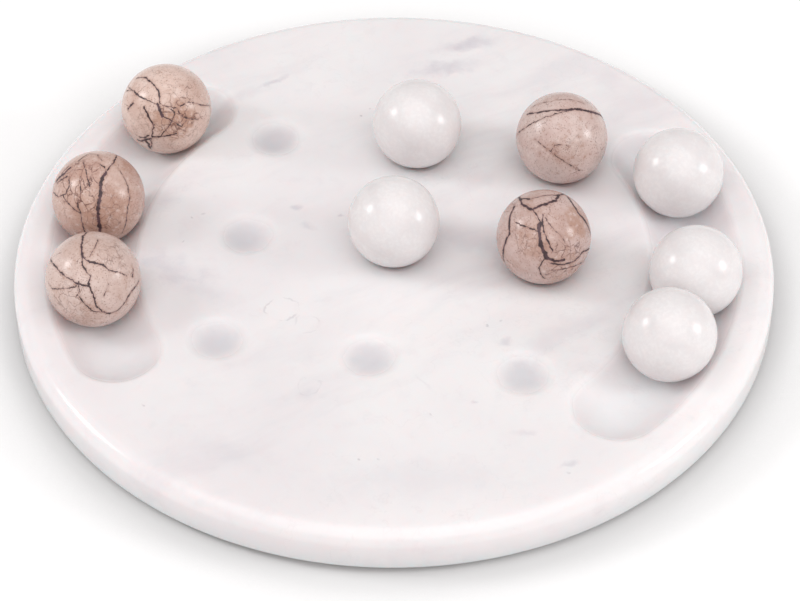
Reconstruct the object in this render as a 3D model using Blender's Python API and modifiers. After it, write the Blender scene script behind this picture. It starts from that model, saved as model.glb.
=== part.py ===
"""Marble tic tac toe set: a round stone board with a 3 by 3 grid of dimples and two
storage troughs, five brown and five white stone balls, and four felt pads underneath.

Units are metres, +Z up. The origin is on the table, under the middle of the board.
The grid's rows run along X and its columns along Y.
"""
from math import cos, pi, radians, sin, sqrt

import bmesh
import bpy
from mathutils import Matrix, Vector

MM = 0.001
TOUCH_GAP = 0.3 * MM            # clearance kept between pieces that rest on each other

# Board
BOARD_RADIUS = 152.4 * MM       # a 12 inch disc
BOARD_THICKNESS = 17.5 * MM
TOP_EDGE_RADIUS = 6.5 * MM      # soft rounding of the upper edge
BOTTOM_EDGE_RADIUS = 1.5 * MM   # eased lower edge
BOARD_SIDES = 96

# Grid of dimples
GRID_PITCH = 60.0 * MM
DIMPLE_RADIUS = 10.4 * MM       # at the board's top face
DIMPLE_DEPTH = 3.5 * MM
DIMPLE_SEGMENTS = 32
DIMPLE_RINGS = 16

# Storage troughs, one on the left and one on the right
TROUGH_RADIUS = 121.0 * MM      # from the board's middle to the trough's centreline
TROUGH_HALF_ANGLE = 36.2        # degrees from the X axis to either end of the centreline
TROUGH_DEPTH = 8.5 * MM
TROUGH_HALF_WIDTH = 17.2 * MM   # at the board's top face
TROUGH_STATIONS = 15
TROUGH_END_RINGS = 5
TROUGH_LAST_RING = 88           # degrees: the last ring stops just short of the pole
TROUGH_SECTION_DETAIL = 12

# Balls
BROWN_BALL_RADIUS = 18.75 * MM
WHITE_BALL_RADIUS = 18.35 * MM
BALL_SEGMENTS = 24
BALL_RINGS = 12

# Felt pads under the board
PAD_RADIUS = 10.0 * MM
PAD_THICKNESS = 2.0 * MM
PAD_EDGE = 0.3 * MM
PAD_CIRCLE_RADIUS = 105.0 * MM
PAD_SIDES = 32

BOARD_BOTTOM = PAD_THICKNESS + TOUCH_GAP
BOARD_TOP = BOARD_BOTTOM + BOARD_THICKNESS

# Where each ball lies: degrees from +X round the troughs, or column and row of the grid
STORED_BALLS = {
    "brown_ball_1": 150.9,
    "brown_ball_2": 179.6,
    "brown_ball_3": 202.3,
    "white_ball_1": 25.8,
    "white_ball_2": -2.0,
    "white_ball_3": -19.7,
}
BALLS_IN_PLAY = {
    "brown_ball_4": (1, 1),
    "brown_ball_5": (1, 0),
    "white_ball_4": (0, 1),
    "white_ball_5": (0, 0),
}
PAD_ANGLES = {
    "pad_back_right": 45,
    "pad_back_left": 135,
    "pad_front_left": 225,
    "pad_front_right": 315,
}


def start_scene():
    """Empty the scene and make one collection for the parts and one for the cutters."""
    for thing in list(bpy.data.objects):
        bpy.data.objects.remove(thing)
    made = []
    for name in ("tic_tac_toe_set", "cutters"):
        collection = bpy.data.collections.new(name)
        bpy.context.scene.collection.children.link(collection)
        made.append(collection)
    return made


def material(name, colour, roughness):
    """A plain non-metallic finish."""
    made = bpy.data.materials.new(name)
    made.use_nodes = True
    shader = made.node_tree.nodes["Principled BSDF"]
    shader.inputs["Base Color"].default_value = (*colour, 1.0)
    shader.inputs["Roughness"].default_value = roughness
    shader.inputs["Metallic"].default_value = 0.0
    return made


def add_object(name, data, collection):
    """Link an object that holds the given data."""
    thing = bpy.data.objects.new(name, data)
    collection.objects.link(thing)
    return thing


def add_cutter(name, mesh, collection):
    """An object that only cuts others."""
    cutter = add_object(name, mesh, collection)
    cutter.hide_render = True
    cutter.display_type = "WIRE"
    return cutter


def cut(target, cutter):
    """Take the cutter's space out of the target."""
    boolean = target.modifiers.new(cutter.name, "BOOLEAN")
    boolean.operation = "DIFFERENCE"
    boolean.solver = "EXACT"
    boolean.object = cutter


def cap_sphere_radius(half_width, depth):
    """Radius of the ball that sinks a hollow of this half width and depth into a flat."""
    return (half_width**2 + depth**2) / (2 * depth)


def round_edge(centre_x, centre_z, radius, start_degrees, steps):
    """Profile points clockwise round a quarter circle."""
    turns = [radians(start_degrees - 90 * i / steps) for i in range(steps + 1)]
    return [(centre_x + radius * cos(t), centre_z + radius * sin(t)) for t in turns]


def board_profile():
    """The board's half section, from the middle of its top out and down to its underside."""
    upper = round_edge(
        BOARD_RADIUS - TOP_EDGE_RADIUS, BOARD_TOP - TOP_EDGE_RADIUS,
        TOP_EDGE_RADIUS, 90, 6)
    lower = round_edge(
        BOARD_RADIUS - BOTTOM_EDGE_RADIUS, BOARD_BOTTOM + BOTTOM_EDGE_RADIUS,
        BOTTOM_EDGE_RADIUS, 0, 3)
    return [(0.0, BOARD_TOP), *upper, *lower, (0.0, BOARD_BOTTOM)]


def make_disc(collection, finish):
    """The board before it is cut: a disc turned from its profile."""
    bm = bmesh.new()
    points = [bm.verts.new((x, 0.0, z)) for x, z in board_profile()]
    for first, second in zip(points, points[1:]):
        bm.edges.new((first, second))
    mesh = bpy.data.meshes.new("board")
    bm.to_mesh(mesh)
    bm.free()
    mesh.materials.append(finish)
    board = add_object("board", mesh, collection)
    turn = board.modifiers.new("Turn", "SCREW")
    turn.axis = "Z"
    turn.angle = 2 * pi
    turn.steps = BOARD_SIDES
    turn.render_steps = BOARD_SIDES
    turn.use_merge_vertices = True
    turn.merge_threshold = 0.01 * MM
    return board


def make_dimple_cutter(collection):
    """Nine spheres, one over each place of the grid."""
    bm = bmesh.new()
    radius = cap_sphere_radius(DIMPLE_RADIUS, DIMPLE_DEPTH)
    height = BOARD_TOP + radius - DIMPLE_DEPTH
    for column in (-1, 0, 1):
        for row in (-1, 0, 1):
            place = Vector((column * GRID_PITCH, row * GRID_PITCH, height))
            bmesh.ops.create_uvsphere(
                bm, u_segments=DIMPLE_SEGMENTS, v_segments=DIMPLE_RINGS,
                radius=radius, matrix=Matrix.Translation(place))
    mesh = bpy.data.meshes.new("dimple_cutter")
    bm.to_mesh(mesh)
    bm.free()
    return add_cutter("dimple_cutter", mesh, collection)


def trough_path(middle, section_radius):
    """Points along a trough with their relative widths: an arc, and half a ball at each end."""
    half = radians(TROUGH_HALF_ANGLE)

    def on_arc(angle):
        return TROUGH_RADIUS * Vector((cos(angle), sin(angle), 0.0))

    arc = []
    for station in range(TROUGH_STATIONS):
        share = 2 * station / (TROUGH_STATIONS - 1) - 1
        arc.append((on_arc(middle + share * half), 1.0))
    ends = {}
    for way in (-1, 1):
        angle = middle + way * half
        outward = way * Vector((-sin(angle), cos(angle), 0.0))
        ends[way] = []
        for ring in range(1, TROUGH_END_RINGS + 1):
            turn = radians(TROUGH_LAST_RING * ring / TROUGH_END_RINGS)
            ends[way].append((on_arc(angle) + section_radius * sin(turn) * outward, cos(turn)))
    return ends[-1][::-1] + arc + ends[1]


def make_trough_cutter(name, middle_degrees, collection):
    """A bent round bar with ball ends, sunk into the board to the trough's depth."""
    section_radius = cap_sphere_radius(TROUGH_HALF_WIDTH, TROUGH_DEPTH)
    path = trough_path(radians(middle_degrees), section_radius)
    curve = bpy.data.curves.new(name, "CURVE")
    curve.dimensions = "3D"
    curve.twist_mode = "Z_UP"
    curve.bevel_depth = section_radius
    curve.bevel_resolution = TROUGH_SECTION_DETAIL
    curve.use_fill_caps = True
    spline = curve.splines.new("POLY")
    spline.points.add(len(path) - 1)
    for point, (place, width) in zip(spline.points, path):
        point.co = (*place, 1.0)
        point.radius = width
    bar = add_object(name + "_bar", curve, collection)
    bar.location.z = BOARD_TOP + section_radius - TROUGH_DEPTH
    bpy.context.view_layer.update()
    mesh = bpy.data.meshes.new_from_object(
        bar.evaluated_get(bpy.context.evaluated_depsgraph_get()))
    bm = bmesh.new()
    bm.from_mesh(mesh)
    bmesh.ops.remove_doubles(bm, verts=bm.verts, dist=0.01 * MM)
    bm.to_mesh(mesh)
    bm.free()
    cutter = add_cutter(name, mesh, collection)
    cutter.matrix_world = bar.matrix_world
    bpy.data.objects.remove(bar)
    return cutter


def make_board(parts, cutters, finish):
    """The stone disc with its nine dimples and two troughs."""
    board = make_disc(parts, finish)
    cut(board, make_dimple_cutter(cutters))
    cut(board, make_trough_cutter("trough_cutter_right", 0, cutters))
    cut(board, make_trough_cutter("trough_cutter_left", 180, cutters))


def make_ball_mesh(name, radius, finish):
    """A ball, shared by the pieces of one colour."""
    bm = bmesh.new()
    bmesh.ops.create_uvsphere(bm, u_segments=BALL_SEGMENTS, v_segments=BALL_RINGS, radius=radius)
    mesh = bpy.data.meshes.new(name)
    bm.to_mesh(mesh)
    bm.free()
    mesh.shade_smooth()
    mesh.materials.append(finish)
    return mesh


def place_stored_ball(name, mesh, radius, degrees, collection):
    """A ball in a trough, under an empty on the board's vertical axis that it rolls round."""
    pivot = add_object(name + "_pivot", None, collection)
    pivot.rotation_euler.z = radians(degrees)
    ball = add_object(name, mesh, collection)
    ball.parent = pivot
    ball.location = (TROUGH_RADIUS, 0.0, BOARD_TOP - TROUGH_DEPTH + TOUCH_GAP + radius)


def place_ball_in_play(name, mesh, radius, column, row, collection):
    """A ball on the rim of a dimple, with its origin on the upright line it is lifted along."""
    ball = add_object(name, mesh, collection)
    height = BOARD_TOP + sqrt((radius + TOUCH_GAP)**2 - DIMPLE_RADIUS**2)
    ball.location = (column * GRID_PITCH, row * GRID_PITCH, height)


def make_balls(collection, brown, white):
    """Five brown and five white balls."""
    kinds = {
        "brown": (make_ball_mesh("brown_ball", BROWN_BALL_RADIUS, brown), BROWN_BALL_RADIUS),
        "white": (make_ball_mesh("white_ball", WHITE_BALL_RADIUS, white), WHITE_BALL_RADIUS),
    }
    for name, degrees in STORED_BALLS.items():
        mesh, radius = kinds[name.split("_")[0]]
        place_stored_ball(name, mesh, radius, degrees, collection)
    for name, (column, row) in BALLS_IN_PLAY.items():
        mesh, radius = kinds[name.split("_")[0]]
        place_ball_in_play(name, mesh, radius, column, row, collection)


def make_pad(name, degrees, collection, finish):
    """A felt disc under the board."""
    bm = bmesh.new()
    bmesh.ops.create_cone(
        bm, cap_ends=True, segments=PAD_SIDES, radius1=PAD_RADIUS, radius2=PAD_RADIUS,
        depth=PAD_THICKNESS)
    mesh = bpy.data.meshes.new(name)
    bm.to_mesh(mesh)
    bm.free()
    mesh.shade_smooth()
    mesh.set_sharp_from_angle(angle=radians(50))
    mesh.materials.append(finish)
    pad = add_object(name, mesh, collection)
    turn = radians(degrees)
    pad.location = (
        PAD_CIRCLE_RADIUS * cos(turn), PAD_CIRCLE_RADIUS * sin(turn), PAD_THICKNESS / 2)
    edge = pad.modifiers.new("Edge", "BEVEL")
    edge.width = PAD_EDGE
    edge.segments = 1
    edge.limit_method = "ANGLE"
    edge.angle_limit = radians(60)


def main():
    parts, cutters = start_scene()
    board_stone = material("board_marble", (0.78, 0.77, 0.78), 0.22)
    brown_stone = material("brown_marble", (0.50, 0.33, 0.27), 0.20)
    white_stone = material("white_marble", (0.80, 0.79, 0.77), 0.18)
    felt = material("felt", (0.35, 0.34, 0.33), 0.95)
    make_board(parts, cutters, board_stone)
    make_balls(parts, brown_stone, white_stone)
    for name, degrees in PAD_ANGLES.items():
        make_pad(name, degrees, parts, felt)


main()
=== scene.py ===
"""Looks of the marble tic tac toe set: the polished board, its ten stone balls and its
felt pads, on a plain white floor under soft studio light.

Metres throughout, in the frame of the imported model, apart from the board's stone, which is
laid out in millimetres from the board's middle, and the balls' stone, in units of each
ball's radius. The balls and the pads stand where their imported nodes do.
"""
from math import cos, hypot, pi, radians, sin, sqrt

import bmesh
import bpy
import numpy as np
from mathutils import Matrix, Vector, noise
from mathutils.geometry import delaunay_2d_cdt


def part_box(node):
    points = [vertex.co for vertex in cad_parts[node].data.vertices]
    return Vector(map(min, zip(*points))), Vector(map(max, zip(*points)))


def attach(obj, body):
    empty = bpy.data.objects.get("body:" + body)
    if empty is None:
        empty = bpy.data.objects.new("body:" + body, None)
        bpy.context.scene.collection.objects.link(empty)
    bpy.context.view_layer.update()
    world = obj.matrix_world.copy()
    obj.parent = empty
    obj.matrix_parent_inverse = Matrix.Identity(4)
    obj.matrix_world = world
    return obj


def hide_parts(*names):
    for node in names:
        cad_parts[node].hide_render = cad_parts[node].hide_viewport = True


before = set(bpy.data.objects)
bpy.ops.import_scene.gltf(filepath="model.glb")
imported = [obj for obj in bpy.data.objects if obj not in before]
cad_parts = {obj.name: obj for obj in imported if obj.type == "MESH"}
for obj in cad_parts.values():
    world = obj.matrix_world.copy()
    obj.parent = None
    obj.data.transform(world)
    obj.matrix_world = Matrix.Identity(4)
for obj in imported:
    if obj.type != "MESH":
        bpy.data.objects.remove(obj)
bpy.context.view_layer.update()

MM = 0.001

# The stone's shape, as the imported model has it
GRID_PITCH = 60.0 * MM
DIMPLE_RADIUS = 10.4 * MM
DIMPLE_DEPTH = 3.5 * MM
TROUGH_RADIUS = 121.0 * MM
TROUGH_HALF_ANGLE = radians(36.2)
TROUGH_HALF_WIDTH = 17.2 * MM
TROUGH_DEPTH = 8.5 * MM
TOP_EDGE_RADIUS = 6.5 * MM
BOTTOM_EDGE_RADIUS = 1.5 * MM

# How the polisher left it: the rims of the hollows are rounded over this much depth
DIMPLE_EASE = 3.6 * MM
TROUGH_EASE = 4.0 * MM

# A hollow is part of a ball out to this share of the ball's radius, then slopes at 45 degrees
STEEPEST = 0.98

BOARD_LOW, BOARD_HIGH = (Vector(corner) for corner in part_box("board"))
BOARD_TOP = BOARD_HIGH.z
BOARD_BOTTOM = BOARD_LOW.z
BOARD_RADIUS = (BOARD_HIGH.x - BOARD_LOW.x) / 2
FLAT_RADIUS = BOARD_RADIUS - TOP_EDGE_RADIUS

# How finely the board is meshed: counts round the board and the troughs, the widths of the
# fine bands at the hollows' rims, and the spacing of the points inside them, at their rims,
# round them and on the flat
RIM_POINTS = 384
TOP_EDGE_STEPS = 12
BOTTOM_EDGE_STEPS = 5
SIDE_SHARES = (0.25, 0.5, 0.75)
UNDERSIDE_SHARES = (0.8, 0.6, 0.4, 0.2)
DIMPLE_RIM = 2.0 * MM
TROUGH_RIM = 2.2 * MM
RIM_REACH = 1.3
HOLLOW_STEP = 1.4 * MM
RIM_STEP = 0.32 * MM
DIMPLE_STEP = 0.9 * MM
TROUGH_END_STEP = 1.1 * MM
TROUGH_POINTS = 120
TROUGH_LINE_POINTS = 96
NET_STEP = 4.0 * MM
NET_CLEARANCE = 4.5 * MM
MERGE_DISTANCE = 0.02 * MM

# The balls: very slightly out of round, by a smooth noise
BALL_SUBDIVISIONS = 6
UNEVEN_DEPTH = 0.06 * MM
UNEVEN_SCALE = 1.3
UNEVEN_SHIFT = Vector((7.1, 3.3, 1.7))

# A felt pad's outline: share of its radius and of its thickness, from its glued face down
PAD_SIDES = 72
PAD_PROFILE = ((0.55, 1.0), (0.96, 1.0), (0.985, 0.94), (0.99, 0.5), (0.98, 0.12),
               (0.94, 0.0), (0.55, 0.0))
PAD_RAGGEDNESS = 0.012
PAD_RAGGED_SCALE = 6.0
PAD_RAGGED_SHIFT = 90.0

# The camera, and the way that the balls' drawn veins face
VIEW_AZIMUTH = radians(9.24)
VIEW_ELEVATION = radians(44.44)
VIEW_ROLL = radians(-0.18)
VIEW_DISTANCE = 1.1233
VIEW_AIM = Vector((7.0 * MM, -28.3 * MM, BOARD_TOP))
LENS = 128.25
SENSOR = 36.0
NEAREST_SEEN = 0.05

# Each area light: its name, place (m), width and height (m) and power (W)
LIGHTS = (
    ("softbox_left", (-1.25, -0.10, 0.86), (0.38, 0.36), 4.8),
    ("softbox_right", (1.35, -0.05, 0.62), (0.36, 0.42), 4.6),
    ("front_wash", (0.25, -1.40, 3.00), (4.8, 4.8), 93.0),
)
LIGHT_AIM = Vector((0.0, 0.0, 0.02))
SKY_COLOUR = (1.0, 0.97, 0.965, 1.0)
SKY_STRENGTH = 0.46

# The floor's material darkens near contact, like the retouched shadow in the photograph
FLOOR_HALF_SIZE = 4.0
FLOOR_SQUARES = 8
FLOOR_DROP = 0.2 * MM
CONTACT_REACH = 110.0 * MM


def view_axes():
    """Unit vectors to the viewer's right, up, and from the object towards the viewer."""
    right = Vector((cos(VIEW_AZIMUTH), sin(VIEW_AZIMUTH), 0.0))
    towards = Vector((
        sin(VIEW_AZIMUTH) * cos(VIEW_ELEVATION),
        -cos(VIEW_AZIMUTH) * cos(VIEW_ELEVATION),
        sin(VIEW_ELEVATION)))
    return right, towards.cross(right), towards


# ---------------------------------------------------------------- camera, floor, light

def make_camera():
    right, up, towards = view_axes()
    data = bpy.data.cameras.new("camera")
    data.lens = LENS
    data.sensor_width = SENSOR
    data.clip_start = NEAREST_SEEN
    camera = bpy.data.objects.new("camera", data)
    bpy.context.scene.collection.objects.link(camera)
    turned_right = right * cos(VIEW_ROLL) + up * sin(VIEW_ROLL)
    turned_up = up * cos(VIEW_ROLL) - right * sin(VIEW_ROLL)
    camera.matrix_world = Matrix.Translation(VIEW_AIM + towards * VIEW_DISTANCE) @ Matrix(
        (turned_right, turned_up, towards)).transposed().to_4x4()
    bpy.context.scene.camera = camera


def area_light(name, place, size, power):
    data = bpy.data.lights.new(name, "AREA")
    data.shape = "RECTANGLE"
    data.size, data.size_y = size
    data.energy = power
    light = bpy.data.objects.new(name, data)
    light.location = place
    light.rotation_euler = (LIGHT_AIM - Vector(place)).to_track_quat("-Z", "Y").to_euler()
    bpy.context.scene.collection.objects.link(light)


def make_light():
    """A pale room, a small softbox on either side and a very wide one high in front."""
    world = bpy.data.worlds.new("studio")
    world.use_nodes = True
    sky = world.node_tree.nodes["Background"]
    sky.inputs["Color"].default_value = SKY_COLOUR
    sky.inputs["Strength"].default_value = SKY_STRENGTH
    bpy.context.scene.world = world
    bpy.context.scene.view_settings.view_transform = "Standard"
    for light in LIGHTS:
        area_light(*light)


def make_floor():
    mesh = bpy.data.meshes.new("floor")
    bm = bmesh.new()
    bmesh.ops.create_grid(bm, x_segments=FLOOR_SQUARES, y_segments=FLOOR_SQUARES,
                          size=FLOOR_HALF_SIZE)
    bm.to_mesh(mesh)
    bm.free()
    floor = bpy.data.objects.new("floor", mesh)
    floor.location.z = -FLOOR_DROP
    bpy.context.scene.collection.objects.link(floor)
    paint = Finish("floor")
    crevice = paint.tree.nodes.new("ShaderNodeAmbientOcclusion")
    crevice.inputs["Distance"].default_value = CONTACT_REACH
    shaded = rgb(0.70, 0.70, 0.70)
    lit = rgb(0.95, 0.95, 0.95)
    open_share = paint.ramp(crevice.outputs["AO"], start=0.66, end=1.0)
    paint.set("Base Color", paint.mix(open_share, shaded, lit))
    paint.set("Roughness", 0.9)
    paint.set("Specular IOR Level", 0.2)
    mesh.materials.append(paint.material)


# ---------------------------------------------------------------- material building

class Finish:
    """A material with short ways to add and join its nodes."""

    def __init__(self, name):
        self.material = bpy.data.materials.new(name)
        self.material.use_nodes = True
        self.tree = self.material.node_tree
        self.shader = self.tree.nodes["Principled BSDF"]

    def put(self, socket, value):
        """Link a socket to another, or give it a constant."""
        if isinstance(value, bpy.types.NodeSocket):
            self.tree.links.new(value, socket)
        else:
            socket.default_value = value

    def set(self, name, value):
        self.put(self.shader.inputs[name], value)

    def maths(self, operation, *values):
        node = self.tree.nodes.new("ShaderNodeMath")
        node.operation = operation
        for socket, value in zip(node.inputs, values):
            self.put(socket, value)
        return node.outputs["Value"]

    def vector(self, operation, *values):
        node = self.tree.nodes.new("ShaderNodeVectorMath")
        node.operation = operation
        for socket, value in zip(node.inputs, values):
            self.put(socket, value)
        single = operation in ("DOT_PRODUCT", "LENGTH", "DISTANCE")
        return node.outputs["Value" if single else "Vector"]

    def place(self, middle=(0.0, 0.0, 0.0), size=1.0):
        """Where a point is, from a middle and in units of a size."""
        node = self.tree.nodes.new("ShaderNodeTexCoord")
        moved = self.vector("SUBTRACT", node.outputs["Object"], middle)
        return self.vector("MULTIPLY", moved, (1 / size, 1 / size, 1 / size))

    def noise(self, place, scale, detail=4.0, roughness=0.55, colour=False):
        node = self.tree.nodes.new("ShaderNodeTexNoise")
        self.put(node.inputs["Vector"], place)
        node.inputs["Scale"].default_value = scale
        node.inputs["Detail"].default_value = detail
        node.inputs["Roughness"].default_value = roughness
        return node.outputs["Color" if colour else "Fac"]

    def cells(self, place, scale, feature="F1"):
        node = self.tree.nodes.new("ShaderNodeTexVoronoi")
        node.feature = feature
        self.put(node.inputs["Vector"], place)
        node.inputs["Scale"].default_value = scale
        return node.outputs["Distance"]

    def ramp(self, value, start, end, low=0.0, high=1.0):
        """A smooth step from low, where the value is start, to high, where it is end."""
        node = self.tree.nodes.new("ShaderNodeMapRange")
        node.interpolation_type = "SMOOTHSTEP"
        self.put(node.inputs["Value"], value)
        node.inputs["From Min"].default_value = start
        node.inputs["From Max"].default_value = end
        node.inputs["To Min"].default_value = low
        node.inputs["To Max"].default_value = high
        return node.outputs["Result"]

    def scaled(self, value, factor):
        return self.maths("MULTIPLY", value, factor)

    def mix(self, share, first, second):
        """The first colour where the share is 0, and the second where it is 1."""
        node = self.tree.nodes.new("ShaderNodeMix")
        node.data_type = "RGBA"
        self.put(node.inputs["Factor"], share)
        self.put(node.inputs[6], first)
        self.put(node.inputs[7], second)
        return node.outputs[2]

    def warp(self, place, scale, amount, detail=2.0):
        """Push a place about by a smooth noise."""
        push = self.noise(place, scale, detail, 0.55, colour=True)
        centred = self.vector("SUBTRACT", push, (0.5, 0.5, 0.5))
        return self.vector("ADD", place, self.vector("MULTIPLY", centred, (amount,) * 3))

    def level(self, place):
        """A place with its height left out."""
        return self.vector("MULTIPLY", place, (1.0, 1.0, 0.0))

    def swap(self, place):
        """A place with its x and y changed over."""
        parts = self.tree.nodes.new("ShaderNodeSeparateXYZ")
        self.put(parts.inputs[0], place)
        joined = self.tree.nodes.new("ShaderNodeCombineXYZ")
        for socket, name in zip(joined.inputs, ("Y", "X", "Z")):
            self.put(socket, parts.outputs[name])
        return joined.outputs[0]

    def bump(self, height, distance, strength=1.0):
        node = self.tree.nodes.new("ShaderNodeBump")
        node.inputs["Strength"].default_value = strength
        node.inputs["Distance"].default_value = distance
        self.put(node.inputs["Height"], height)
        self.set("Normal", node.outputs["Normal"])


def rgb(red, green, blue):
    return (red, green, blue, 1.0)


# ---------------------------------------------------------------- the white board

# Grey clouds in the stone, and one painted shadow: middle, half length, half width (mm), turn
# # (degrees), strength
BOARD_CLOUDS_AND_SHADOW = (
    (7, 131, 11, 4.5, 28, 0.50), (14, 134, 14, 5, 25, 0.25), (0, 114, 13, 5, 18, 0.42),
    (9, 118, 16, 5, 20, 0.25), (-67, 96, 8, 1.6, 40, 0.55), (-80, 84, 16, 4, 35, 0.20),
    (-43, 18, 3.0, 2.2, 0, 0.50), (-37, 9, 4.0, 2.0, -25, 0.32), (-25, 17, 1.4, 1.1, 0, 0.55),
    (-97, 14, 9, 6, 50, 0.34), (-88, -24, 22, 7, -12, 0.42), (-72, -34, 18, 6, -20, 0.22),
    # The patch at (30, 9), right of white_ball_5 in the middle dimple, is mostly a painted
    # shadow of that ball, partly a grey cloud in the stone
    (30, 9, 20, 6, -8, 0.26), (52, -44, 4, 2.2, 10, 0.42), (73, -36, 30, 7, 42, 0.22),
    (44, -78, 1.6, 1.2, 0, 0.50), (23, -72, 6, 1.0, -48, 0.18), (64, -91, 7, 2.0, 20, 0.25),
    (83, -104, 5, 1.6, 40, 0.40), (31, -120, 40, 12, 8, 0.16), (-20, -84, 5, 4, 0, 0.20),
    (-45, -118, 26, 8, -14, 0.16), (70, 122, 14, 7, -30, 0.16), (58, 40, 24, 8, 30, 0.14),
)

# Closed threads like the trace of a shell: middle, radius (mm) and strength
BOARD_RINGS = ((-38, -40, 7.0, 0.30), (-27, -47, 5.0, 0.16), (-20, -80, 4.0, 0.18))


# The board's stone: its two whites and what lies in them, and the greys painted as shade
WHITE_STONE = rgb(0.795, 0.762, 0.772)
MILKY_STONE = rgb(0.838, 0.812, 0.816)
WISP_COLOUR = rgb(0.600, 0.560, 0.600)
GRAIN_COLOUR = rgb(0.62, 0.58, 0.61)
CLOUD_AND_SHADOW_COLOUR = rgb(0.56, 0.525, 0.575)
RING_COLOUR = rgb(0.42, 0.38, 0.42)
THREAD_COLOUR = rgb(0.50, 0.46, 0.48)
SPECK_COLOUR = rgb(0.40, 0.36, 0.40)
# Painted shade: the grey laid in each dimple's middle
DIMPLE_SHADE_COLOUR = rgb(0.560, 0.535, 0.575)
# Painted shade: the darker grey laid inside the troughs and dimples
HOLLOW_SHADE_COLOUR = rgb(0.56, 0.50, 0.53)
SAWN_COLOUR = rgb(0.60, 0.575, 0.56)

# Two parts of the turn and stretch that lays the wisps along one direction
STREAK_KEPT = (0.55, 0.9, 1.0)
STREAK_SWAPPED = (-0.45, -0.55, 0.0)

# How far light spreads inside the board: by red, green and blue, and in all
BOARD_GLOW = (1.0, 0.64, 0.60)
BOARD_GLOW_REACH = 13.0 * MM


def board_marble():
    """Milky white marble: soft clouds, a few grey wisps and specks under a high polish,
    with painted shade in its hollows and one painted shadow on its top.
    """
    stone = Finish("board_marble")
    place = stone.place(size=MM)
    ragged = stone.warp(stone.warp(place, scale=0.09, amount=7.0), scale=0.35, amount=2.2)
    fine = stone.noise(ragged, scale=0.10, detail=6.0, roughness=0.62)
    colour = board_ground(stone, place, fine)
    # Soft grey clouds, one of them mostly a painted shadow of white_ball_5
    for x, y, half_length, half_width, turn, strength in BOARD_CLOUDS_AND_SHADOW:
        share = soft_patch(stone, ragged, fine, (x, y), (half_length, half_width), radians(turn))
        colour = stone.mix(stone.scaled(share, strength), colour, CLOUD_AND_SHADOW_COLOUR)
    colour = board_threads(stone, place, ragged, colour)

    # A dimple's middle is painted greyer and each hollow darker, as painted shade; the hollows
    #     # are also ground but hardly polished, so rougher, and the underside is as sawn
    middle = stone.maths("ADD", dimple_distance(stone, place),
                         stone.ramp(fine, start=0.3, end=0.7, low=-1.2, high=1.2))
    middle = stone.ramp(middle, start=10.8, end=3.0)
    colour = stone.mix(stone.scaled(middle, 0.44), colour, DIMPLE_SHADE_COLOUR)
    height = stone.vector("DOT_PRODUCT", place, (0.0, 0.0, 1.0))
    bottom = BOARD_BOTTOM / MM
    sawn = stone.ramp(height, start=bottom + 0.4, end=bottom + 0.1)
    colour = stone.mix(stone.scaled(sawn, 0.4), colour, SAWN_COLOUR)
    flat = FLAT_RADIUS / MM
    inboard = stone.ramp(stone.vector("LENGTH", stone.level(place)), start=flat + 1.0, end=flat)
    top = BOARD_TOP / MM
    hollow = stone.maths("MULTIPLY", inboard,
                         stone.ramp(height, start=top - 0.4, end=top - 2.5))
    # Painted shade inside the hollows; the same share also makes them rougher below
    colour = stone.mix(stone.scaled(hollow, 0.12), colour, HOLLOW_SHADE_COLOUR)
    stone.set("Base Color", colour)
    dull = stone.maths("ADD", stone.scaled(sawn, 0.40), stone.scaled(hollow, 0.36))
    polish = stone.ramp(fine, start=0.3, end=0.8, low=0.13, high=0.24)
    stone.set("Roughness", stone.maths("ADD", polish, dull))
    stone.set("Specular IOR Level", 0.45)
    stone.set("Subsurface Weight", 0.85)
    stone.set("Subsurface Radius", BOARD_GLOW)
    stone.set("Subsurface Scale", BOARD_GLOW_REACH)
    swell = stone.noise(place, scale=0.042, detail=3.0, roughness=0.5)
    stone.bump(swell, distance=0.10 * MM, strength=0.35)
    return stone.material


def board_ground(stone, place, fine):
    """The board's white, drifting to milky, with its wisps and grain."""
    drift = stone.warp(place, scale=0.016, amount=26.0, detail=3.0)
    broad = stone.noise(drift, scale=0.010, detail=4.0, roughness=0.55)
    colour = stone.mix(stone.ramp(broad, start=0.36, end=0.66), WHITE_STONE, MILKY_STONE)
    streaked = stone.vector("ADD", stone.vector("MULTIPLY", drift, STREAK_KEPT),
                            stone.vector("MULTIPLY", stone.swap(drift), STREAK_SWAPPED))
    wisps = stone.noise(streaked, scale=0.034, detail=7.0, roughness=0.60)
    colour = stone.mix(stone.ramp(wisps, start=0.50, end=0.74, high=0.24), colour, WISP_COLOUR)
    return stone.mix(stone.ramp(fine, start=0.52, end=0.80, high=0.20), colour, GRAIN_COLOUR)


def board_threads(stone, place, ragged, colour):
    """The board's colour with its rings, its thin threads and its rare dark specks."""
    broken = stone.noise(place, scale=0.16, detail=3.0)
    for x, y, radius, strength in BOARD_RINGS:
        moved = stone.vector("SUBTRACT", ragged, (x, y, 0.0))
        away = stone.vector("LENGTH", stone.level(moved))
        line = stone.maths("ABSOLUTE", stone.maths("SUBTRACT", away, radius))
        share = stone.maths("MULTIPLY", stone.ramp(line, start=0.60, end=0.0),
                            stone.ramp(broken, start=0.42, end=0.58, high=strength))
        colour = stone.mix(share, colour, RING_COLOUR)
    level = stone.noise(ragged, scale=0.045, detail=4.0, roughness=0.55)
    level = stone.maths("ABSOLUTE", stone.maths("SUBTRACT", level, 0.5))
    threads = stone.maths("MULTIPLY", stone.ramp(level, start=0.010, end=0.0),
                          stone.ramp(stone.noise(place, scale=0.022, detail=2.0),
                                     start=0.50, end=0.60))
    colour = stone.mix(stone.scaled(threads, 0.07), colour, THREAD_COLOUR)
    dots = stone.maths("MULTIPLY",
                       stone.ramp(stone.cells(ragged, scale=0.12), start=0.12, end=0.04),
                       stone.ramp(stone.noise(place, scale=0.03, detail=3.0),
                                  start=0.60, end=0.68))
    return stone.mix(stone.scaled(dots, 0.5), colour, SPECK_COLOUR)


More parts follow.
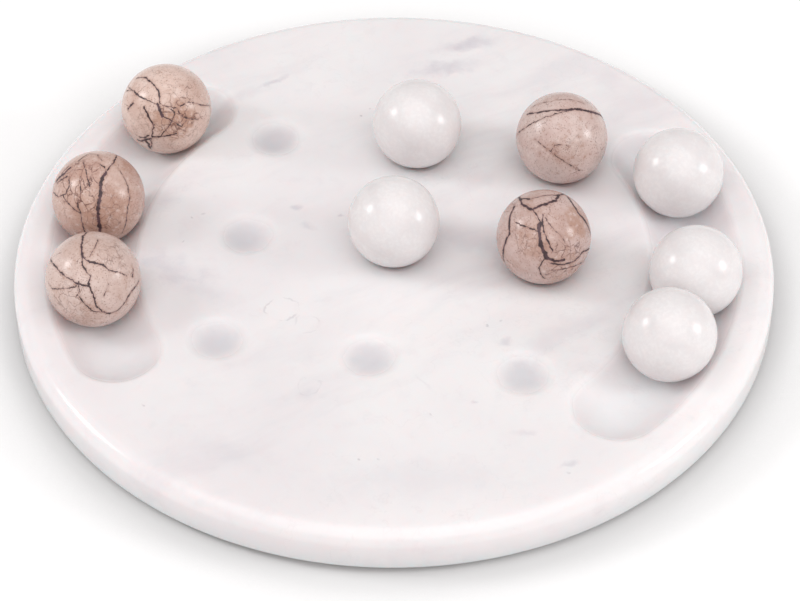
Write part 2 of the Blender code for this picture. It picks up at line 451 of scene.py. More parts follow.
def soft_patch(stone, place, fine, middle, half_size, turn):
    """One soft patch in the board's top: 1 in its middle, 0 outside its ragged edge."""
    moved = stone.vector("SUBTRACT", place, (*middle, 0.0))
    half_length, half_width = half_size
    u = stone.vector("DOT_PRODUCT", moved,
                     (cos(turn) / half_length, sin(turn) / half_length, 0.0))
    v = stone.vector("DOT_PRODUCT", moved,
                     (-sin(turn) / half_width, cos(turn) / half_width, 0.0))
    away = stone.maths("SQRT", stone.maths("ADD", stone.maths("MULTIPLY", u, u),
                                           stone.maths("MULTIPLY", v, v)))
    away = stone.maths("ADD", away, stone.scaled(fine, 2.4))
    return stone.ramp(away, start=2.45, end=1.15)


def dimple_distance(stone, place):
    """Distance in mm, level with the board, from a place to the nearest dimple's middle."""
    squares = []
    for axis in ((1.0, 0.0, 0.0), (0.0, 1.0, 0.0)):
        along = stone.vector("DOT_PRODUCT", place, axis)
        nearest = stone.maths("ROUND", stone.maths("DIVIDE", along, GRID_PITCH / MM))
        nearest = stone.maths("MINIMUM", stone.maths("MAXIMUM", nearest, -1.0), 1.0)
        left = stone.maths("SUBTRACT", along, stone.maths("MULTIPLY", nearest, GRID_PITCH / MM))
        squares.append(stone.maths("MULTIPLY", left, left))
    return stone.maths("SQRT", stone.maths("ADD", *squares))


def soft_max(a, b, ease):
    """The larger of two heights, with the corner between them rounded over."""
    overlap = np.maximum(ease - np.abs(a - b), 0.0)
    return np.maximum(a, b) + overlap**2 / (4 * ease)


def sunk(away, half_width, depth):
    """Depth of a ball-shaped hollow at a distance from its middle, negative outside it."""
    radius = (half_width**2 + depth**2) / (2 * depth)
    inside = np.minimum(away, STEEPEST * radius)
    return depth - radius + np.sqrt(radius**2 - inside**2) - (away - inside)


def from_trough(x, y):
    """Distance from a place to the nearer trough's centreline."""
    angle = np.arctan2(y, np.abs(x))
    end_x = TROUGH_RADIUS * cos(TROUGH_HALF_ANGLE)
    end_y = TROUGH_RADIUS * sin(TROUGH_HALF_ANGLE)
    beyond = np.hypot(np.abs(x) - end_x, np.abs(y) - end_y)
    beside = np.abs(np.hypot(x, y) - TROUGH_RADIUS)
    return np.where(np.abs(angle) > TROUGH_HALF_ANGLE, beyond, beside)


def from_dimple(x, y):
    """Distance from a place to the middle of the nearest dimple."""
    column = np.clip(np.round(x / GRID_PITCH), -1, 1) * GRID_PITCH
    row = np.clip(np.round(y / GRID_PITCH), -1, 1) * GRID_PITCH
    return np.hypot(x - column, y - row)


def top_height(x, y):
    """Height of the board's top face, with its eased hollows."""
    dimple = sunk(from_dimple(x, y), DIMPLE_RADIUS, DIMPLE_DEPTH)
    trough = sunk(from_trough(x, y), TROUGH_HALF_WIDTH, TROUGH_DEPTH)
    depth = soft_max(soft_max(dimple, 0.0, DIMPLE_EASE), trough, TROUGH_EASE)
    return BOARD_TOP - depth


def hollow_steps(half_width, rim_width):
    """Distances from a hollow's middle: wide steps inside it and narrow ones at its rim."""
    inner = np.linspace(0, half_width - rim_width, max(3, int(half_width / HOLLOW_STEP)))
    rim = np.arange(half_width - rim_width, half_width + RIM_REACH * rim_width, RIM_STEP)
    return [*inner[1:-1], *rim]


def top_points():
    """Places on the top face that its mesh goes through, close together at every rim."""
    points = [(0.0, 0.0)]
    for column in (-1, 0, 1):
        for row in (-1, 0, 1):
            points += ring_points(column * GRID_PITCH, row * GRID_PITCH)
    for side in (-1, 1):
        for away in hollow_steps(TROUGH_HALF_WIDTH, TROUGH_RIM):
            points += round_trough(side, away)
        points += [(side * x, y) for x, y in trough_line()]
    return points + flat_points()


def ring_points(middle_x, middle_y):
    """Points in rings round one dimple's middle, and the middle itself."""
    points = [] if middle_x == middle_y == 0 else [(middle_x, middle_y)]
    for radius in hollow_steps(DIMPLE_RADIUS, DIMPLE_RIM):
        count = max(12, int(2 * pi * radius / DIMPLE_STEP))
        for i in range(count):
            turn = 2 * pi * i / count
            points.append((middle_x + radius * cos(turn), middle_y + radius * sin(turn)))
    return points


def trough_line():
    """Points along the right trough's centreline."""
    turns = [TROUGH_HALF_ANGLE * (2 * i / TROUGH_LINE_POINTS - 1)
             for i in range(TROUGH_LINE_POINTS + 1)]
    return [(TROUGH_RADIUS * cos(turn), TROUGH_RADIUS * sin(turn)) for turn in turns]


def round_trough(side, away):
    """Points all round a trough at one distance from its centreline."""
    points = []
    for radius in (TROUGH_RADIUS - away, TROUGH_RADIUS + away):
        for i in range(TROUGH_POINTS + 1):
            turn = TROUGH_HALF_ANGLE * (2 * i / TROUGH_POINTS - 1)
            points.append((side * radius * cos(turn), radius * sin(turn)))
    steps = max(4, int(pi * away / TROUGH_END_STEP))
    for end in (-1, 1):
        middle_x = TROUGH_RADIUS * cos(TROUGH_HALF_ANGLE)
        middle_y = end * TROUGH_RADIUS * sin(TROUGH_HALF_ANGLE)
        for i in range(1, steps):
            turn = end * (TROUGH_HALF_ANGLE + pi * i / steps)
            points.append((side * (middle_x + away * cos(turn)), middle_y + away * sin(turn)))
    return points


def flat_points():
    """A loose triangular net over the flat, clear of the hollows, and the rim round it."""
    rows = int(FLAT_RADIUS / NET_STEP) + 2
    points = []
    for row in range(-rows, rows + 1):
        for column in range(-rows, rows + 1):
            x = (column + 0.5 * (row % 2)) * NET_STEP
            y = row * NET_STEP * sqrt(3) / 2
            clear = from_dimple(x, y) > DIMPLE_RADIUS + NET_CLEARANCE
            clear = clear and from_trough(x, y) > TROUGH_HALF_WIDTH + NET_CLEARANCE
            if clear and hypot(x, y) < FLAT_RADIUS - 0.7 * NET_STEP:
                points.append((x, y))
    for i in range(RIM_POINTS):
        turn = 2 * pi * i / RIM_POINTS
        points.append((FLAT_RADIUS * cos(turn), FLAT_RADIUS * sin(turn)))
    return points


def edge_profile():
    """Radius and height round the board's edge, from its flat top to its flat underside."""
    profile = []
    for i in range(TOP_EDGE_STEPS + 1):
        turn = pi / 2 * (1 - i / TOP_EDGE_STEPS)
        profile.append((BOARD_RADIUS - TOP_EDGE_RADIUS * (1 - cos(turn)),
                        BOARD_TOP - TOP_EDGE_RADIUS * (1 - sin(turn))))
    high = BOARD_TOP - TOP_EDGE_RADIUS
    low = BOARD_BOTTOM + BOTTOM_EDGE_RADIUS
    for share in SIDE_SHARES:
        profile.append((BOARD_RADIUS, high + share * (low - high)))
    for i in range(BOTTOM_EDGE_STEPS + 1):
        turn = pi / 2 * i / BOTTOM_EDGE_STEPS
        profile.append((BOARD_RADIUS - BOTTOM_EDGE_RADIUS * (1 - cos(turn)),
                        low - BOTTOM_EDGE_RADIUS * sin(turn)))
    inner = BOARD_RADIUS - BOTTOM_EDGE_RADIUS
    for share in UNDERSIDE_SHARES:
        profile.append((share * inner, BOARD_BOTTOM))
    return profile


def make_board(finish):
    """The board as one closed mesh: its hollowed top, its rounded edge and its underside."""
    flat = [Vector(point) for point in top_points()]
    places, _, faces, *_ = delaunay_2d_cdt(flat, [], [], 0, MERGE_DISTANCE / 2)
    x = np.array([place.x for place in places])
    y = np.array([place.y for place in places])
    z = top_height(x, y)
    bm = bmesh.new()
    verts = [bm.verts.new(corner) for corner in zip(x, y, z)]
    for face in faces:
        bm.faces.new([verts[i] for i in face])
    rings = []
    for radius, height in edge_profile():
        turns = [2 * pi * i / RIM_POINTS for i in range(RIM_POINTS)]
        rings.append([bm.verts.new((radius * cos(t), radius * sin(t), height)) for t in turns])
    for upper, lower in zip(rings, rings[1:]):
        for i in range(RIM_POINTS):
            j = (i + 1) % RIM_POINTS
            bm.faces.new((upper[j], upper[i], lower[i], lower[j]))
    centre = bm.verts.new((0.0, 0.0, BOARD_BOTTOM))
    for i in range(RIM_POINTS):
        bm.faces.new((rings[-1][(i + 1) % RIM_POINTS], rings[-1][i], centre))
    bmesh.ops.remove_doubles(bm, verts=bm.verts, dist=MERGE_DISTANCE)
    bmesh.ops.recalc_face_normals(bm, faces=bm.faces)
    board = add_piece("marble_board", bm, finish)
    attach(board, "board_body")
    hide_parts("board")


def add_piece(name, bm, finish):
    """Turn a bmesh into a smooth-shaded object."""
    mesh = bpy.data.meshes.new(name)
    bm.to_mesh(mesh)
    bm.free()
    mesh.shade_smooth()
    mesh.materials.append(finish)
    piece = bpy.data.objects.new(name, mesh)
    bpy.context.scene.collection.objects.link(piece)
    return piece


# ---------------------------------------------------------------- the balls

def make_ball(node, finish):
    """A hand-turned ball: very slightly out of round, and a hair under its true size."""
    low, high = (Vector(corner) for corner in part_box(node))
    middle = (low + high) / 2
    radius = (high.z - low.z) / 2
    bm = bmesh.new()
    bmesh.ops.create_icosphere(bm, subdivisions=BALL_SUBDIVISIONS, radius=1.0)
    shift = UNEVEN_SHIFT * (1 + int(node[-1]))
    for vert in bm.verts:
        unit = vert.co.normalized()
        uneven = 0.5 + 0.5 * noise.noise(unit * UNEVEN_SCALE + shift)
        vert.co = middle + unit * (radius - UNEVEN_DEPTH * uneven)
    ball = add_piece(node.replace("_ball_", "_stone_"), bm, finish)
    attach(ball, node + "_body")
    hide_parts(node)


def ball_place(stone, node):
    """Where a point is on a ball, from its middle and in units of its radius."""
    low, high = (Vector(corner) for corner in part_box(node))
    return stone.place(tuple((low + high) / 2), (high.z - low.z) / 2)


# Veins on the side of each brown ball that faces the viewer. A vein is its half width in
# ball radii and the points it runs through, right and up from the middle of that side.
# All of them are laid a little wider than listed.
VEIN_WIDENING = 1.1
VEINS = {
    "brown_ball_1": (
        (0.012, (-0.62, 0.64), (-0.40, 0.66), (-0.25, 0.50), (-0.10, 0.34), (-0.05, 0.05)),
        (0.008, (-0.82, 0.50), (-0.60, 0.26), (-0.38, 0.14), (-0.12, 0.03)),
        (0.006, (-0.86, 0.38), (-0.68, 0.36), (-0.50, 0.20)),
        (0.027, (-0.12, 0.04), (-0.05, -0.10), (-0.01, -0.24)),
        (0.014, (-0.42, -0.02), (-0.35, -0.17), (-0.21, -0.42), (-0.27, -0.66)),
        (0.020, (-0.60, -0.72), (-0.52, -0.75), (-0.40, -0.72), (-0.28, -0.70)),
        (0.012, (-0.56, -0.66), (-0.44, -0.69), (-0.33, -0.64)),
        (0.024, (-0.42, -0.74), (-0.36, -0.82), (-0.34, -0.91)),
        (0.012, (-0.33, -0.70), (-0.28, -0.80), (-0.30, -0.88)),
        (0.010, (-0.27, -0.66), (0.0, -0.66), (0.28, -0.60)),
        (0.008, (0.0, -0.25), (0.20, -0.33), (0.05, -0.55), (-0.05, -0.64)),
        (0.007, (0.0, 0.0), (0.30, -0.05), (0.42, -0.25), (0.75, -0.28)),
        (0.006, (0.28, 0.06), (0.38, -0.02), (0.50, 0.09), (0.72, 0.05), (0.98, 0.04)),
        (0.006, (0.20, -0.33), (0.25, -0.12), (0.08, -0.02)),
        (0.007, (0.20, -0.33), (0.38, -0.44), (0.50, -0.31)),
        (0.016, (-0.80, -0.05), (-0.68, 0.08)),
    ),
    "brown_ball_2": (
        (0.010, (0.42, 0.89), (0.36, 0.68), (0.25, 0.50)),
        (0.028, (0.25, 0.50), (0.14, 0.28), (0.15, 0.05), (0.08, -0.32), (0.10, -0.98)),
        (0.030, (-0.86, 0.34), (-0.78, 0.42), (-0.66, 0.50), (-0.54, 0.61)),
        (0.014, (-0.82, 0.30), (-0.73, 0.36), (-0.60, 0.42)),
        (0.008, (-0.76, 0.44), (-0.70, 0.54), (-0.60, 0.64)),
        (0.008, (-0.55, 0.40), (-0.53, 0.22), (-0.62, 0.06), (-0.80, -0.02), (-0.92, 0.10)),
        (0.009, (-0.68, 0.02), (-0.50, -0.22), (-0.28, -0.38), (-0.22, -0.80)),
        (0.006, (-0.28, 0.76), (-0.18, 0.54), (-0.07, 0.15)),
        (0.006, (-0.30, 0.42), (-0.28, 0.0), (-0.36, -0.15), (-0.28, -0.38)),
        (0.006, (-0.36, 0.76), (-0.15, 0.92), (0.02, 0.90), (0.14, 0.76)),
        (0.008, (0.74, -0.05), (0.68, -0.25), (0.66, -0.45), (0.54, -0.78)),
        (0.005, (0.52, 0.55), (0.68, 0.25), (0.74, -0.05)),
        (0.005, (0.03, 0.70), (0.20, 0.62), (0.25, 0.50)),
    ),
    "brown_ball_3": (
        (0.019, (-0.10, 0.99), (-0.17, 0.80), (-0.17, 0.66), (-0.12, 0.46)),
        (0.015, (-0.12, 0.46), (0.02, 0.34), (0.30, 0.30), (0.42, 0.20)),
        (0.009, (0.42, 0.20), (0.62, 0.12), (0.77, 0.06)),
        (0.010, (-0.12, 0.46), (-0.13, 0.28), (0.05, 0.06), (0.02, -0.15)),
        (0.012, (0.02, -0.15), (0.10, -0.35), (0.15, -0.56), (0.26, -0.69)),
        (0.013, (-0.84, 0.43), (-0.76, 0.30), (-0.38, 0.0), (-0.25, -0.09), (0.02, -0.16)),
        (0.011, (0.26, -0.69), (0.40, -0.72), (0.55, -0.66), (0.85, -0.25), (0.97, -0.05)),
        (0.005, (-0.88, -0.08), (-0.78, -0.20), (-0.50, -0.20), (-0.25, -0.14)),
        (0.006, (-0.20, -0.35), (-0.05, -0.55), (0.10, -0.68), (0.26, -0.69)),
        (0.004, (0.17, 0.82), (0.10, 0.62), (0.02, 0.45)),
        (0.012, (0.88, 0.20), (0.86, 0.05)),
        (0.004, (-0.20, -0.06), (-0.17, -0.25), (-0.26, -0.37)),
        (0.004, (0.42, -0.10), (0.31, -0.36)),
    ),
    "brown_ball_4": (
        (0.016, (-0.76, 0.50), (-0.55, 0.51), (-0.10, 0.54), (0.10, 0.56)),
        (0.026, (0.06, 0.56), (0.50, 0.55), (0.70, 0.51), (0.89, 0.43)),
        (0.006, (-1.0, 0.00), (-0.80, 0.20), (-0.50, 0.35), (-0.20, 0.46), (0.10, 0.53)),
        (0.003, (-0.62, -0.06), (-0.32, -0.32), (0.03, -0.57), (0.35, -0.74)),
        (0.001, (-0.31, -0.35), (-0.20, -0.20), (0.12, -0.23)),
        (0.001, (-0.64, 0.66), (-0.28, 0.76), (0.20, 0.79), (0.46, 0.71)),
    ),
    "brown_ball_5": (
        (0.024, (-0.52, 0.84), (-0.48, 0.68), (-0.27, 0.54)),
        (0.027, (-0.27, 0.55), (0.0, 0.66), (0.22, 0.74)),
        (0.020, (0.22, 0.74), (0.28, 0.85), (0.44, 0.89)),
        (0.010, (-0.47, 0.78), (-0.30, 0.77), (0.05, 0.86), (0.27, 0.85)),
        (0.023, (0.46, 0.87), (0.56, 0.72), (0.68, 0.50), (0.97, 0.06)),
        (0.019, (-0.64, 0.62), (-0.74, 0.40), (-0.75, 0.05), (-0.86, -0.25), (-0.84, -0.52)),
        (0.010, (-0.27, 0.53), (-0.16, 0.38), (-0.12, 0.26)),
        (0.034, (-0.12, 0.26), (-0.15, 0.12), (-0.10, -0.20), (0.02, -0.45)),
        (0.010, (-0.06, 0.44), (-0.08, 0.25), (0.0, 0.0), (0.13, -0.33)),
        (0.005, (-0.05, 0.43), (0.05, 0.25), (0.28, 0.02), (0.45, -0.22)),
        (0.026, (0.02, -0.47), (0.20, -0.52), (0.38, -0.49)),
        (0.014, (0.12, -0.57), (0.40, -0.60), (0.60, -0.52), (0.80, -0.33), (0.96, -0.24)),
        (0.009, (-0.03, -0.49), (-0.13, -0.65), (-0.10, -0.80), (-0.02, -0.88)),
        (0.008, (0.0, -0.81), (0.25, -0.72), (0.52, -0.65), (0.86, -0.48)),
        (0.004, (-0.62, 0.28), (-0.35, 0.16), (-0.14, 0.10)),
    ),
}


def facing(point):
    """The direction, from a ball's middle, of a point on the side that faces the viewer."""
    right, up, towards = view_axes()
    across, above = point
    depth = sqrt(max(0.0, 1 - across**2 - above**2))
    return (right * across + up * above + towards * depth).normalized()


def vein_group():
    """Node group: how far a place on a unit ball is from one stretch of vein, less the
    vein's half width. The stretch is a great-circle arc, given by the pole of its circle,
    the direction of its middle, and the cosine and sine of half its length."""
    group = bpy.data.node_groups.new("vein_stretch", "ShaderNodeTree")
    for name, kind in (("Place", "NodeSocketVector"), ("Pole", "NodeSocketVector"),
                       ("Middle", "NodeSocketVector"), ("Cosine", "NodeSocketFloat"),
                       ("Sine", "NodeSocketFloat"), ("Width", "NodeSocketFloat")):
        group.interface.new_socket(name, in_out="INPUT", socket_type=kind)
    group.interface.new_socket("Away", in_out="OUTPUT", socket_type="NodeSocketFloat")
    given = group.nodes.new("NodeGroupInput").outputs
    result = group.nodes.new("NodeGroupOutput").inputs["Away"]

    def add(kind, operation, *values):
        node = group.nodes.new(kind)
        node.operation = operation
        for socket, value in zip(node.inputs, values):
            group.links.new(value, socket)
        return node.outputs["Value"]

    beside = add("ShaderNodeMath", "ABSOLUTE",
                 add("ShaderNodeVectorMath", "DOT_PRODUCT", given["Place"], given["Pole"]))
    reach = add("ShaderNodeVectorMath", "DOT_PRODUCT", given["Place"], given["Middle"])
    short = add("ShaderNodeMath", "SUBTRACT", given["Cosine"], reach)
    beyond = add("ShaderNodeMath", "DIVIDE", short, given["Sine"])
    away = add("ShaderNodeMath", "MAXIMUM", beside, beyond)
    group.links.new(add("ShaderNodeMath", "SUBTRACT", away, given["Width"]), result)
    return group


def vein_distance(stone, place, veins, group):
    """Distance from a place to the nearest vein's edge, negative inside the vein."""
    nearest = None
    for half_width, *points in veins:
        ends = [facing(point) for point in points]
        for start, end in zip(ends, ends[1:]):
            half = start.angle(end) / 2
            node = stone.tree.nodes.new("ShaderNodeGroup")
            node.node_tree = group
            stone.put(node.inputs["Place"], place)
            node.inputs["Pole"].default_value = start.cross(end).normalized()
            node.inputs["Middle"].default_value = (start + end).normalized()
            node.inputs["Cosine"].default_value = cos(half)
            node.inputs["Sine"].default_value = sin(half)
            node.inputs["Width"].default_value = VEIN_WIDENING * half_width
            away = node.outputs["Away"]
            nearest = away if nearest is None else stone.maths("MINIMUM", nearest, away)
    return nearest


# Each brown ball's two stone colours, the patches where its grains are crushed, and the
# patches where it is stained rust red. A patch is its middle, as in VEINS, its reach in
# radii, and its strength, and it fades from the inner to the outer share of its reach.
PATCH_INNER = 0.45
PATCH_OUTER = 1.25
BROWN_STONES = {
    "brown_ball_1": (rgb(0.725, 0.555, 0.490), rgb(0.622, 0.440, 0.375),
                     (((0.42, -0.26), 0.62, 0.78), ((-0.40, -0.35), 0.40, 0.35)),
                     (((0.30, -0.30), 0.50, 0.75), ((-0.2, 0.25), 0.4, 0.2))),
    "brown_ball_2": (rgb(0.605, 0.430, 0.372), rgb(0.510, 0.328, 0.275),
                     (((-0.32, 0.25), 0.62, 1.0), ((0.15, -0.45), 0.50, 0.6)),
                     (((0.20, -0.55), 0.75, 0.55), ((0.70, 0.66), 0.30, 0.5),
                      ((-0.35, 0.2), 0.5, 0.3))),
    "brown_ball_3": (rgb(0.665, 0.520, 0.475), rgb(0.585, 0.428, 0.375),
                     (((-0.45, -0.55), 0.50, 0.55), ((0.45, 0.45), 0.40, 0.4)),
                     (((0.0, -0.75), 0.40, 0.3),)),
    "brown_ball_4": (rgb(0.640, 0.508, 0.472), rgb(0.580, 0.422, 0.384),
                     (((0.05, -0.15), 0.25, 0.35),),
                     (((0.10, -0.35), 0.45, 0.25),)),
    "brown_ball_5": (rgb(0.595, 0.445, 0.412), rgb(0.510, 0.350, 0.308),
                     (((0.45, -0.55), 0.50, 0.8), ((-0.42, 0.0), 0.45, 0.5)),
                     (((0.72, 0.25), 0.35, 0.6), ((-0.30, -0.12), 0.40, 0.4),
                      ((0.3, -0.7), 0.5, 0.35))),
}


def patches(stone, place, listed):
    """How far a place is into any of some patches on a ball."""
    most = None
    for middle, reach, strength in listed:
        near = stone.vector("DOT_PRODUCT", place, tuple(facing(middle)))
        share = stone.ramp(near, start=cos(PATCH_OUTER * reach), end=cos(PATCH_INNER * reach),
                           high=strength)
        most = share if most is None else stone.maths("MAXIMUM", most, share)
    return most


# What lies in the brown stone
RUST_COLOUR = rgb(0.420, 0.225, 0.150)
DARK_MOTTLE = rgb(0.42, 0.25, 0.19)
PALE_MOTTLE = rgb(0.76, 0.63, 0.58)
GRAIN_SHADE = rgb(0.30, 0.16, 0.125)
DOT_COLOUR = rgb(0.24, 0.11, 0.085)
HAIRLINE_COLOUR = rgb(0.115, 0.045, 0.038)
STAIN_COLOUR = rgb(0.33, 0.165, 0.12)
VEIN_COLOUR = rgb(0.030, 0.012, 0.017)
WORN_VEIN_COLOUR = rgb(0.085, 0.040, 0.052)

# Where each ball is cut from its block, times the ball's number
BROWN_SHIFT = (3.7, 1.9, 5.3)
WHITE_SHIFT = (2.9, 4.1, 1.3)


def brown_marble(node, group):
    """Pink-brown stone, finely speckled, crazed by hairlines and cut by dark veins."""
    number = int(node[-1])
    tan, pink, crushed, stained = BROWN_STONES[node]
    stone = Finish("brown_marble_%d" % number)
    place = ball_place(stone, node)
    moved = stone.vector("ADD", place, [number * part for part in BROWN_SHIFT])
    wavy = stone.warp(place, scale=3.0, amount=0.35)
    grain = stone.noise(moved, scale=40.0, detail=4.0, roughness=0.70)
    colour = brown_ground(stone, moved, wavy, grain, (tan, pink, stained))
    colour = stone.mix(hairlines(stone, moved, wavy, crushed), colour, HAIRLINE_COLOUR)

    away = stone.maths("MINIMUM", drawn_veins(stone, place, node, group),
                       hidden_net(stone, place, moved))
    ragged = stone.noise(place, scale=9.0, detail=2.0, roughness=0.5)
    away = stone.maths("ADD", away, stone.ramp(ragged, start=0.34, end=0.66,
                                               low=-0.008, high=0.005))
    away = stone.maths("ADD", away, stone.ramp(grain, start=0.35, end=0.65,
                                               low=-0.004, high=0.004))
    vein = stone.ramp(away, start=0.005, end=-0.004)
    stain = stone.ramp(away, start=0.060, end=0.0)
    colour = stone.mix(stone.scaled(stain, 0.32), colour, STAIN_COLOUR)
    filling = stone.mix(stone.ramp(ragged, start=0.40, end=0.60), VEIN_COLOUR, WORN_VEIN_COLOUR)
    stone.set("Base Color", stone.mix(stone.scaled(vein, 0.96), colour, filling))
    polish = stone.ramp(grain, start=0.3, end=0.8, low=0.20, high=0.32)
    stone.set("Roughness", stone.maths("ADD", polish, stone.scaled(vein, 0.25)))
    stone.set("Specular IOR Level", 0.5)
    stone.set("Subsurface Weight", 0.06)
    stone.set("Subsurface Radius", (1.0, 0.6, 0.45))
    stone.set("Subsurface Scale", 1.0 * MM)
    height = stone.maths("SUBTRACT", stone.scaled(grain, 0.12), vein)
    stone.bump(height, distance=0.12 * MM, strength=0.5)
    return stone.material


def brown_ground(stone, moved, wavy, grain, look):
    """The brown stone's two colours, rust stains, mottling, grain and dots."""
    tan, pink, stained = look
    broad = stone.noise(stone.warp(moved, scale=1.2, amount=0.5), scale=1.5)
    mottle = stone.noise(moved, scale=8.0, detail=6.0, roughness=0.68)
    colour = stone.mix(stone.ramp(broad, start=0.36, end=0.66), tan, pink)
    rust = stone.maths("MULTIPLY", patches(stone, wavy, stained),
                       stone.ramp(mottle, start=0.30, end=0.62, low=0.35))
    colour = stone.mix(rust, colour, RUST_COLOUR)
    colour = stone.mix(stone.ramp(mottle, start=0.52, end=0.72, high=0.62), colour, DARK_MOTTLE)
    colour = stone.mix(stone.ramp(mottle, start=0.47, end=0.26, high=0.64), colour, PALE_MOTTLE)
    colour = stone.mix(stone.ramp(grain, start=0.54, end=0.70, high=0.58), colour, GRAIN_SHADE)
    dots = stone.cells(stone.warp(moved, scale=30.0, amount=0.03), scale=21.0)
    patchy = stone.noise(moved, scale=2.6, detail=3.0)
    dots = stone.maths("MULTIPLY", stone.ramp(dots, start=0.34, end=0.15),
                       stone.ramp(patchy, start=0.32, end=0.56, low=0.25, high=0.80))
    return stone.mix(stone.scaled(dots, 0.75), colour, DOT_COLOUR)


def hairlines(stone, moved, wavy, crushed):
    """The walls between crushed grains, close-set in the crushed patches, loose elsewhere."""
    grains = stone.warp(moved, scale=2.2, amount=0.42)
    grains = stone.warp(stone.warp(grains, scale=8.0, amount=0.10), scale=26.0, amount=0.03)
    grains = stone.vector("MULTIPLY", grains, (1.15, 0.70, 1.0))
    walls = stone.ramp(stone.cells(grains, 4.0, "DISTANCE_TO_EDGE"), start=0.050, end=0.010)
    walls = stone.maths("MULTIPLY", walls, patches(stone, wavy, crushed))
    loose = stone.ramp(stone.cells(grains, 1.9, "DISTANCE_TO_EDGE"), start=0.018, end=0.003)
    some = stone.noise(moved, scale=2.6, detail=3.0)
    loose = stone.maths("MULTIPLY", loose, stone.ramp(some, start=0.48, end=0.62, high=0.70))
    faded = stone.ramp(stone.noise(moved, scale=6.5, detail=3.0), start=0.32, end=0.56,
                       low=0.25, high=0.90)
    return stone.maths("MULTIPLY", stone.maths("MAXIMUM", walls, loose), faded)


def drawn_veins(stone, place, node, group):
    """Distance to the ball's own veins, which wander off their drawn lines."""
    wander = stone.warp(stone.warp(place, scale=4.0, amount=0.08), scale=15.0, amount=0.055)
    wander = stone.vector("NORMALIZE", stone.warp(wander, scale=46.0, amount=0.026))
    return vein_distance(stone, wander, VEINS[node], group)


def hidden_net(stone, place, moved):
    """Distance to a coarse net of veins that shows only on the side away from the viewer."""
    net = stone.warp(stone.warp(moved, scale=1.6, amount=0.3), scale=9.0, amount=0.07)
    net = stone.maths("SUBTRACT", stone.cells(net, 0.95, "DISTANCE_TO_EDGE"), 0.020)
    front = stone.vector("DOT_PRODUCT", place, tuple(facing((0.0, 0.0))))
    return stone.maths("ADD", net, stone.ramp(front, start=-0.30, end=-0.05, high=0.5))


# The white balls' stone
BALL_WHITE = rgb(0.770, 0.739, 0.741)
BALL_MILK = rgb(0.808, 0.782, 0.782)
BAND_COLOUR = rgb(0.710, 0.670, 0.675)
BALL_THREAD_COLOUR = rgb(0.60, 0.56, 0.58)
BEDDING = Vector((0.5, 0.35, 0.8)).normalized()


def white_marble(node):
    """Milky stone with faint warm bands and a few grey threads."""
    number = int(node[-1])
    stone = Finish("white_marble_%d" % number)
    place = ball_place(stone, node)
    moved = stone.vector("ADD", place, [number * part for part in WHITE_SHIFT])
    drift = stone.warp(stone.warp(moved, scale=0.9, amount=0.9), scale=3.0, amount=0.18)
    along = stone.vector("DOT_PRODUCT", drift, tuple(BEDDING))
    bands = stone.ramp(stone.maths("SINE", stone.scaled(along, 7.0)), start=0.2, end=1.0)
    fine = stone.noise(moved, scale=12.0, detail=6.0, roughness=0.6)
    colour = stone.mix(stone.ramp(fine, start=0.35, end=0.7), BALL_WHITE, BALL_MILK)
    colour = stone.mix(stone.scaled(bands, 0.34), colour, BAND_COLOUR)
    threads = stone.ramp(stone.cells(drift, 1.3, "DISTANCE_TO_EDGE"), start=0.05, end=0.0)
    threads = stone.maths("MULTIPLY", threads, stone.ramp(fine, start=0.42, end=0.62))
    colour = stone.mix(stone.scaled(threads, 0.12), colour, BALL_THREAD_COLOUR)
    stone.set("Base Color", colour)
    stone.set("Roughness", stone.ramp(fine, start=0.3, end=0.8, low=0.20, high=0.265))
    stone.set("Specular IOR Level", 0.42)
    stone.set("Subsurface Weight", 0.75)
    stone.set("Subsurface Radius", (1.0, 0.82, 0.78))
    stone.set("Subsurface Scale", 6.0 * MM)
    swell = stone.noise(moved, scale=5.0, detail=3.0, roughness=0.5)
    stone.bump(swell, distance=0.06 * MM, strength=0.3)
    return stone.material


# ---------------------------------------------------------------- the felt pads

DARK_FIBRE = rgb(0.10, 0.10, 0.10)
PALE_FIBRE = rgb(0.24, 0.235, 0.23)
TUFT_COLOUR = rgb(0.15, 0.14, 0.14)


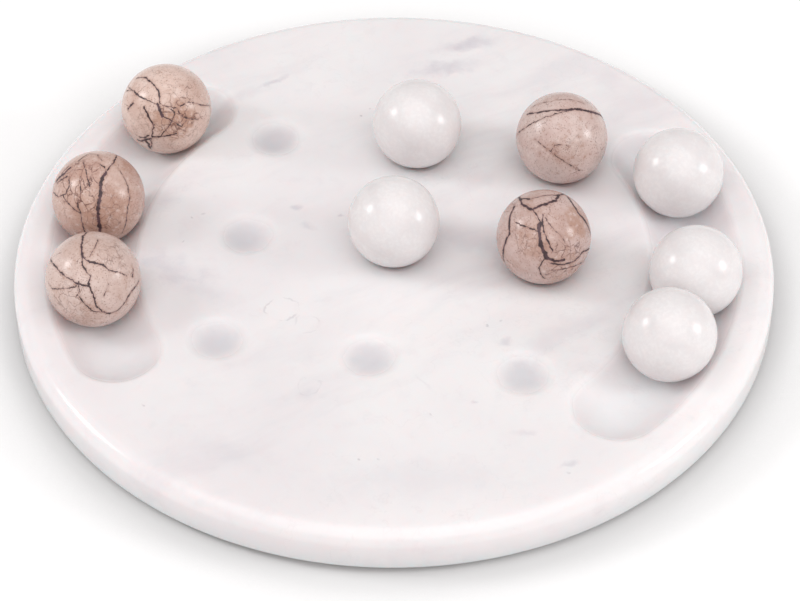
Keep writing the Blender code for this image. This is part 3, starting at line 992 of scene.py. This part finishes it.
def grey_felt():
    felt = Finish("grey_felt")
    place = felt.place()
    fibres = felt.warp(place, scale=900.0, amount=0.001)
    fibres = felt.noise(fibres, scale=2600.0, detail=6.0, roughness=0.7)
    tufts = felt.noise(place, scale=420.0, detail=4.0, roughness=0.6)
    colour = felt.mix(felt.ramp(fibres, start=0.35, end=0.7), DARK_FIBRE, PALE_FIBRE)
    colour = felt.mix(felt.ramp(tufts, start=0.4, end=0.75, high=0.5), colour, TUFT_COLOUR)
    felt.set("Base Color", colour)
    felt.set("Roughness", felt.ramp(tufts, start=0.3, end=0.7, low=0.90, high=0.99))
    felt.set("Sheen Weight", 0.25)
    felt.bump(fibres, distance=0.15 * MM, strength=0.8)
    return felt.material


def make_pad(node, finish):
    """A cut felt disc with soft, slightly ragged edges, glued to the underside."""
    low, high = (Vector(corner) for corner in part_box(node))
    middle = (low + high) / 2
    radius = (high.x - low.x) / 2
    thickness = BOARD_BOTTOM - low.z
    bm = bmesh.new()
    rings = []
    for share, height_share in PAD_PROFILE:
        ring = []
        for i in range(PAD_SIDES):
            turn = 2 * pi * i / PAD_SIDES
            away = Vector((cos(turn), sin(turn), 0.0))
            wobble = 0.5 + 0.5 * noise.noise(away * PAD_RAGGED_SCALE + middle * PAD_RAGGED_SHIFT)
            reach = radius * share * (1 - PAD_RAGGEDNESS * wobble)
            ring.append(bm.verts.new((middle.x + away.x * reach, middle.y + away.y * reach,
                                      low.z + height_share * thickness)))
        rings.append(ring)
    for upper, lower in zip(rings, rings[1:]):
        for i in range(PAD_SIDES):
            j = (i + 1) % PAD_SIDES
            bm.faces.new((upper[j], upper[i], lower[i], lower[j]))
    for ring, height, way in ((rings[0], thickness, 1), (rings[-1], 0.0, -1)):
        centre = bm.verts.new((middle.x, middle.y, low.z + height))
        for i in range(PAD_SIDES):
            j = (i + 1) % PAD_SIDES
            bm.faces.new((centre, ring[i], ring[j])[::way])
    bmesh.ops.recalc_face_normals(bm, faces=bm.faces)
    pad = add_piece(node.replace("pad", "felt"), bm, finish)
    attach(pad, "board_body")
    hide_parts(node)


# ---------------------------------------------------------------- everything together

def main():
    make_camera()
    make_light()
    make_floor()
    make_board(board_marble())
    group = vein_group()
    for number in range(1, 6):
        brown = "brown_ball_%d" % number
        white = "white_ball_%d" % number
        make_ball(brown, brown_marble(brown, group))
        make_ball(white, white_marble(white))
    felt = grey_felt()
    for node in ("pad_back_right", "pad_back_left", "pad_front_left", "pad_front_right"):
        make_pad(node, felt)


main()
